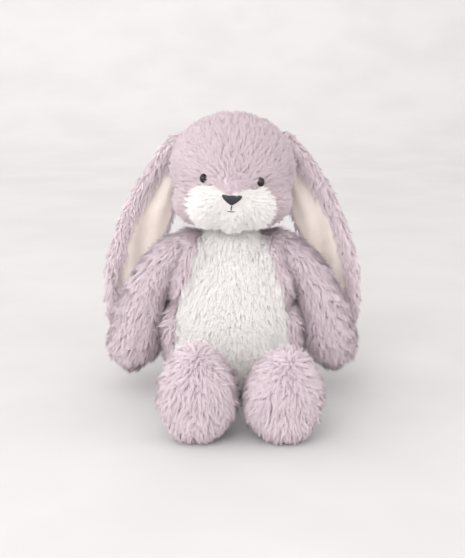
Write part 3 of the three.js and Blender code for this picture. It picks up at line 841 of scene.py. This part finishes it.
def spline(points, t):
    """A Catmull-Rom curve through points, at the places t from 0 to 1."""
    p = np.array(points, float)
    p = np.concatenate([[2 * p[0] - p[1]], p, [2 * p[-1] - p[-2]]])
    place = np.clip(np.asarray(t, float), 0, 1) * (len(points) - 1)
    i = np.minimum(place.astype(int), len(points) - 2)
    f = (place - i)[..., None]
    a, b, c, d = p[i], p[i + 1], p[i + 2], p[i + 3]
    return 0.5 * (
        2 * b
        + (c - a) * f
        + (2 * a - 5 * b + 4 * c - d) * f**2
        + (3 * b - a - 3 * c + d) * f**3
    )


def step(a, b, x):
    t = np.clip((x - a) / (b - a), 0, 1)
    return t * t * (3 - 2 * t)


def ear_surface(sign, t, a, lift):
    """Points of an ear: t runs from root to tip, a from the inner rim (-1) to the outer (1),
    and lift is how far forward of the middle surface, in millimetres."""
    centre = spline(EAR_PATH, t)
    half = np.interp(t, *zip(*EAR_HALF)) - 5.0
    half = half * np.sqrt(np.clip(1 - (np.clip(t - 0.86, 0, 1) / 0.135) ** 2, 0.003, 1))
    across = unit(np.array([0.9, -0.4, 0]))
    front = np.cross(across, [0, 0, 1])
    curl = 3.2 * np.clip(a, 0, 1) ** 2 + 2.0 * np.clip(-a, 0, 1) ** 2
    curl = curl * step(0.05, 0.3, t)
    place = (
        centre
        + across * (a * half)[..., None]
        + front * (curl + lift)[..., None]
        - front * 2.0
    )
    place = place * np.array([sign, 1, 1])
    return place * MM + np.array([0, MIDDLE_Y, 0])


def lining_edges(t):
    """How far the lining reaches across the ear, from its inner to its outer border."""
    inner, outer = step(0.15, 0.34, t), step(0.17, 0.52, t)
    return -0.15 - 0.84 * inner, -0.05 + 0.60 * outer


def ear(side, sign):
    long, round_ = 78, 44
    t = np.linspace(0.02, 0.99, long)[:, None] * np.ones(round_)
    angle = np.linspace(0, 2 * math.pi, round_, endpoint=False) * np.ones((long, 1))
    a = np.cos(angle)
    s = np.sin(angle)
    lift = 2.4 * np.sign(s) * np.abs(s) ** 0.7
    lift = lift + np.where(s > 0, 0.8 * np.exp(-(((a - 0.72) / 0.3) ** 2)), 0)
    verts = ear_surface(sign, t, a, lift).reshape(-1, 3)
    i, k = np.meshgrid(np.arange(long - 1), np.arange(round_), indexing="ij")
    n = (k + 1) % round_
    quads = np.stack(
        [i * round_ + k, i * round_ + n, (i + 1) * round_ + n, (i + 1) * round_ + k], -1
    ).reshape(-1, 4)
    if sign < 0:
        quads = quads[:, ::-1]
    caps = []
    for row, back in ((0, False), (long - 1, True)):
        ring = row * round_ + np.arange(round_)
        fan = np.stack([np.full(round_ - 2, ring[0]), ring[1:-1], ring[2:]], 1)
        caps.append(fan[:, ::-1] if back == (sign > 0) else fan)
    body = f"ear_{side}"
    start, end = at(sign * 42, 11, 232), at(sign * 60, 19, 200)
    mesh = new_mesh(f"ear_{side}_skin", verts, [quads, *caps])
    obj = new_object(f"ear_{side}_skin", mesh, LILAC_SKIN)
    cross(obj, "head", body, start, end, "lilac_plush")
    normals = normals_of(verts, quads)
    points, normal = spots(verts, quads, normals, pitch=2.6, seed=15)
    flat_t = t[:-1].reshape(-1) + 0.5 * (t[1, 0] - t[0, 0])
    mid = (angle[:-1] + math.pi / round_).reshape(-1)
    flat_a, front = np.cos(mid), np.sin(mid) > 0
    low, high = lining_edges(flat_t)
    lined = front & (flat_a > low + 0.02) & (flat_a < high - 0.02) & (flat_t > 0.2)
    way = np.tile([sign * 0.22, 0.0, -1.0], (len(points), 1))
    spread = verts[quads]
    area = np.linalg.norm(
        np.cross(spread[:, 2] - spread[:, 0], spread[:, 3] - spread[:, 1]), axis=1
    ) / 2
    full = 2.8 * MM**2  # a face smaller than this gets a clump less often
    even = np.random.default_rng(17).uniform(size=len(area)) < area / full
    use = ~lined & even
    flow = tangent(way, normal)
    facing = np.clip(1.5 * np.sin(mid) + 0.9, -1, 1)
    styled = {**EAR, "shade": towards_front(normal, facing[:, None])[use]}
    # the ears' pile is the lighter copy of the lilac: painted light
    made = grow(
        f"ear_{side}_pile", points[use], normal[use], flow[use], styled, LILAC_LIT, 500 + sign
    )
    cross(made, "head", body, start, end, "lilac_plush", f"ear_{side}_outer")
    ear_lining(side, sign, start, end)


def ear_lining(side, sign, start, end):
    """The velour sheet over the front of an ear, with soft folds across it."""
    rows, cols = 90, 26
    t = np.linspace(0.19, 0.965, rows)[:, None] * np.ones(cols)
    share = np.linspace(0, 1, cols) * np.ones((rows, 1))
    low, high = lining_edges(t)
    a = low - 0.06 + (high - low + 0.12) * share
    fold = 1.5 * np.sin(2 * math.pi * (share * 1.3 + t * 2.0 + 0.15 * np.sin(9 * t)))
    fold += 0.8 * np.sin(2 * math.pi * (share * 0.7 - t * 2.9) + 1.0)
    fold *= np.sin(math.pi * share) ** 0.7
    lift = 2.4 * np.clip(1 - a**2, 0, 1) ** 0.35 + 2.6 + fold
    faces, sheets = [], []
    for layer, drop in ((0, 0.0), (1, 0.9)):
        sheets.append(ear_surface(sign, t, a, lift - drop).reshape(-1, 3))
        f = grid_quads(rows, cols) + layer * rows * cols
        faces.append(f[:, ::-1] if (layer == 0) == (sign > 0) else f)
    side_faces = grid_sides(rows, cols)
    faces.append(side_faces if sign > 0 else side_faces[:, ::-1])
    name = f"ear_{side}_velour"
    obj = new_object(name, new_mesh(name, np.concatenate(sheets), faces), LINING)
    cross(obj, "head", f"ear_{side}", start, end, "ear_velour", f"ear_{side}_lining")


# ---- tail, label, eyes, nose, mouth, neck


def tail():
    pitch = 2.6
    v, q = skin(["tail"], [(at(0, 57, 36), (20, 20, 20))], pitch, inset=7.0)
    points, n = spots(v, q, normals_of(v, q), pitch, seed=16)
    obj = skin_object("tail_skin", v, q, np.ones(len(q)))
    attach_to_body(obj, "torso")
    made = grow("tail_pile", points, n, tail_flow(points, n), CHEEK, WHITE, 600)
    attach(made, "torso", "white_plush", "tail")


def dome(name, centre, out, radius, height, mat, squeeze=0.8, sides=36, rings=14):
    """A low dome with a rolled edge, its foot at centre and its top along out. The plush
    about it squeezes it narrower than it is tall."""
    out = unit(out)
    across = unit(np.cross(out, [0, 0, 1.0]))
    other = np.cross(out, across)
    verts = [centre + out * height]
    for i in range(1, rings + 1):
        v = 0.5 * math.pi * i / rings
        for k in range(sides):
            u = 2 * math.pi * k / sides
            ring = across * math.cos(u) * squeeze + other * math.sin(u)
            verts.append(centre + ring * radius * math.sin(v) + out * height * math.cos(v))
    for k in range(sides):
        u = 2 * math.pi * k / sides
        ring = across * math.cos(u) * squeeze + other * math.sin(u)
        verts.append(centre + ring * radius * 0.7 - out * height * 0.5)
    tris = [[0, 1 + k, 1 + (k + 1) % sides] for k in range(sides)]
    quads = [
        [1 + r * sides + k, 1 + (r + 1) * sides + k, 1 + (r + 1) * sides + (k + 1) % sides,
         1 + r * sides + (k + 1) % sides]
        for r in range(rings)
        for k in range(sides)
    ]
    last = 1 + rings * sides
    floor = [[last, last + k + 1, last + k] for k in range(1, sides - 1)]
    mesh = new_mesh(name, np.array(verts), [np.array(quads), np.array(tris + floor)])
    return new_object(name, mesh, mat)


def eyes():
    for side in ("left", "right"):
        centre, out = eye_axis(side)
        foot, radius, height = centre - out * 1.4 * MM, 4.1 * MM, 3.4 * MM
        obj = dome(f"eye_{side}_bead", foot, out, radius, height, EYE)
        attach(obj, "head", "eye_plastic", f"eye_{side}")


NOSE_X = 0.7  # how far the nose and mouth sit off the head's middle, in millimetres


def face_point(x, z, y):
    """A point of the face, x and z in millimetres from the head's middle before its roll."""
    return at(
        x * math.cos(ROLL) + z * math.sin(ROLL),
        y,
        HEAD_MIDDLE_Z + z * math.cos(ROLL) - x * math.sin(ROLL),
    )


def nose():
    """A padded patch of satin stitch: upright threads side by side, rounded at its edges."""
    half, top, bottom = 8.6, -17.0, -25.8
    slope, puff, ridge = 2.7, 1.7, 0.28
    cols, rows = 91, 26
    grid = []
    for i in range(rows):
        share = i / (rows - 1)
        z = top + (bottom - top) * share
        wide = half * (1 - share**1.9 * 0.93) * min(1, 0.86 + 2.2 * share)
        for k in range(cols):
            across = -1 + 2 * k / (cols - 1)
            x = across * wide
            edge = math.sqrt(max(0, 1 - across**8)) * math.sqrt(max(0, 1 - (2 * share - 1) ** 8))
            thread = abs(math.sin(math.pi * 11 * (x / half)))
            crown = 1 - 0.5 * across**2 - 0.35 * (2 * share - 1) ** 2
            y = -53.3 + slope * share - puff * edge * crown - ridge * thread * edge
            arch = 0.8 * (1 - across**2) * (1 - share)
            grid.append(face_point(x + NOSE_X, z - arch * 0.4, y))
    front = grid_quads(rows, cols)[:, TURNED]
    grid = np.array(grid)
    back = grid.copy()
    back[:, 1] = at(0, -46, 0)[1]
    groups = [front, front[:, ::-1] + rows * cols, grid_sides(rows, cols)]
    mesh = new_mesh("nose_stitch", np.concatenate([grid, back]), groups)
    obj = new_object("nose_stitch", mesh, NOSE)
    attach(obj, "head", "nose_thread", "nose")


def thread(name, points, radius, mat, sides=10):
    """A round thread through points, with closed rounded ends."""
    points = np.array(points)
    n = len(points)
    along = unit(np.gradient(points, axis=0))
    up = unit(np.cross(along, [0.1, 1.0, 0.2]))
    other = np.cross(along, up)
    verts = []
    for i in range(n):
        end = min(i, n - 1 - i) / 2
        r = radius * math.sqrt(min(1, 0.25 + end))
        for k in range(sides):
            u = 2 * math.pi * k / sides
            verts.append(points[i] + (up[i] * math.cos(u) + other[i] * math.sin(u)) * r)
    quads = [
        [i * sides + k, i * sides + (k + 1) % sides, (i + 1) * sides + (k + 1) % sides,
         (i + 1) * sides + k]
        for i in range(n - 1)
        for k in range(sides)
    ]
    caps = [[0, k + 1, k] for k in range(1, sides - 1)]
    last = (n - 1) * sides
    caps += [[last, last + k, last + k + 1] for k in range(1, sides - 1)]
    mesh = new_mesh(name, np.array(verts), [np.array(quads), np.array(caps)])
    return new_object(name, mesh, mat)


def mouth():
    down = [face_point(NOSE_X + 0.2 * math.sin(i), -26.1 - 0.62 * i, -50.9) for i in range(8)]
    obj = thread("mouth_upright_stitch", down, 0.48 * MM, NOSE)
    attach(obj, "head", "nose_thread", "mouth")
    bar = []
    for i in range(9):
        sag = 0.25 * math.sin(math.pi * i / 8)
        bar.append(face_point(-2.4 + 0.78 * i, -31.2 - sag, -50.7 + 0.12 * abs(i - 4)))
    obj = thread("mouth_anchor_stitch", bar, 0.4 * MM, NOSE)
    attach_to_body(obj, "head")


def neck():
    """Hand stitches that close the neck: a ring of slanted loops."""
    centre = np.array(JOINTS["neck_nod"]["pos_m"])
    ring = []
    turns, steps = 20, 200
    for i in range(steps):
        u = 2 * math.pi * i / (steps - 1)
        r = 8 + 0.8 * math.cos(turns * u)
        offset = np.array([r * math.cos(u), r * math.sin(u), 0.5 * math.sin(turns * u)])
        ring.append(centre + MM * offset)
    obj = thread("neck_seam", ring, 0.4 * MM, SEAM, sides=6)
    attach(obj, "neck", "sewing_thread", "neck_stitching")


def label():
    """A blank woven satin label, folded over at its sewn end and curling at its free one."""
    low, high = (np.array(c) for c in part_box("care_label"))
    inner = np.array([low[0], low[1], (low[2] + high[2]) / 2 + 0.001])
    outer = np.array([high[0], high[1], (low[2] + high[2]) / 2 - 0.001])
    along = outer - inner
    side = unit(np.cross(along, [0, 0, 1.0])) * 6 * MM
    rows, cols = 24, 9
    front = []
    for i in range(rows):
        s = i / (rows - 1)
        for k in range(cols):
            c = -1 + 2 * k / (cols - 1)
            lift = 1.6 * MM * math.sin(2.4 * s) + 0.5 * MM * c * c * s
            raised = np.array([0, 0, lift - 0.001])
            front.append(inner + along * s * 0.97 + side * c * 0.95 + raised)
    front = np.array(front)
    mesh = new_mesh("care_label_satin", front, [grid_quads(rows, cols)[:, TURNED]])
    obj = new_object("care_label_satin", mesh, LABEL)
    solid = obj.modifiers.new("thickness", "SOLIDIFY")
    solid.thickness = 0.5 * MM
    attach(obj, "torso", "label_satin", "care_label")


head()
torso()
for side_name, side_sign in (("left", 1), ("right", -1)):
    arm(side_name, side_sign)
    leg(side_name, side_sign)
    ear(side_name, side_sign)
tail()
eyes()
nose()
mouth()
neck()
label()

# ------------------------------------------------------------------ stage


def floor():
    """A pale sweep: flat underfoot, rising behind."""
    near, far, bend, steps = -3.0, 1.6, 1.6, 24
    rows = [(y, 0.0) for y in np.linspace(near, far, steps)]
    for i in range(1, steps + 1):
        a = 0.5 * math.pi * i / steps
        rows.append((far + bend * math.sin(a), bend - bend * math.cos(a)))
    rows.append((far + bend, 6.0))
    xs = (-6.0, -2.0, 2.0, 6.0)
    verts = [(x, y, z) for y, z in rows for x in xs]
    quads = [
        [i * 4 + k, i * 4 + k + 1, (i + 1) * 4 + k + 1, (i + 1) * 4 + k]
        for i in range(len(rows) - 1)
        for k in range(3)
    ]
    mesh = new_mesh("floor", np.array(verts), [np.array(quads)])
    mat, nodes, links, shader = material("floor_cloth")
    _, _, colour = noise_colour(
        nodes, links, 6, 3, [(0.3, (0.605, 0.592, 0.598)), (0.7, (0.64, 0.627, 0.632))]
    )
    links.new(colour.outputs[0], shader.inputs["Base Color"])
    shader.inputs["Roughness"].default_value = 0.9
    shader.inputs["Specular IOR Level"].default_value = 0.1
    new_object("floor", mesh, mat)


def lamp(name, place, aim, size, watts, colour):
    data = bpy.data.lights.new(name, "AREA")
    data.shape = "DISK"
    data.size = size
    data.energy = watts
    data.color = colour
    obj = bpy.data.objects.new(name, data)
    bpy.context.scene.collection.objects.link(obj)
    obj.location = place
    obj.rotation_euler = (Vector(aim) - Vector(place)).to_track_quat("-Z", "Y").to_euler()


floor()
lamp("window", (-1.5, 0.35, 1.35), (0, 0.02, 0.12), 1.6, 6, (1.0, 0.985, 0.97))
lamp("front_low", (-0.4, -1.9, 0.3), (0, 0, 0.08), 1.8, 20, (1.0, 0.99, 0.985))
lamp("front_high", (-0.6, -1.6, 1.3), (0, 0, 0.08), 1.6, 14, (1.0, 0.99, 0.985))
lamp("side_left", (-1.7, -0.7, 0.4), (0, 0, 0.1), 1.4, 8, (1.0, 0.99, 0.985))
lamp("side_right", (1.7, -0.7, 0.4), (0, 0, 0.1), 1.4, 8, (1.0, 0.99, 0.985))
lamp("rear", (-0.5, 2.2, 2.0), (0, 1.8, 0), 2.0, 17, (1.0, 0.985, 0.97))
world = bpy.data.worlds.new("room")
bpy.context.scene.world = world
world.use_nodes = True
world.node_tree.nodes["Background"].inputs[0].default_value = (1.0, 0.985, 0.975, 1)
world.node_tree.nodes["Background"].inputs[1].default_value = 1.02
bpy.context.scene.view_settings.view_transform = "Standard"

# ------------------------------------------------------------------ camera

DISTANCE = 1.05
ELEVATION = math.radians(13)
AIM = Vector((0.0, MIDDLE_Y, 0.100))
camera_data = bpy.data.cameras.new("camera")
camera_data.lens = 75
camera_data.sensor_width = 36
camera = bpy.data.objects.new("camera", camera_data)
bpy.context.scene.collection.objects.link(camera)
back = Vector((0, -math.cos(ELEVATION), math.sin(ELEVATION)))
camera.location = AIM + back * DISTANCE
camera.rotation_euler = (-back).to_track_quat("-Z", "Y").to_euler()
bpy.context.scene.camera = camera
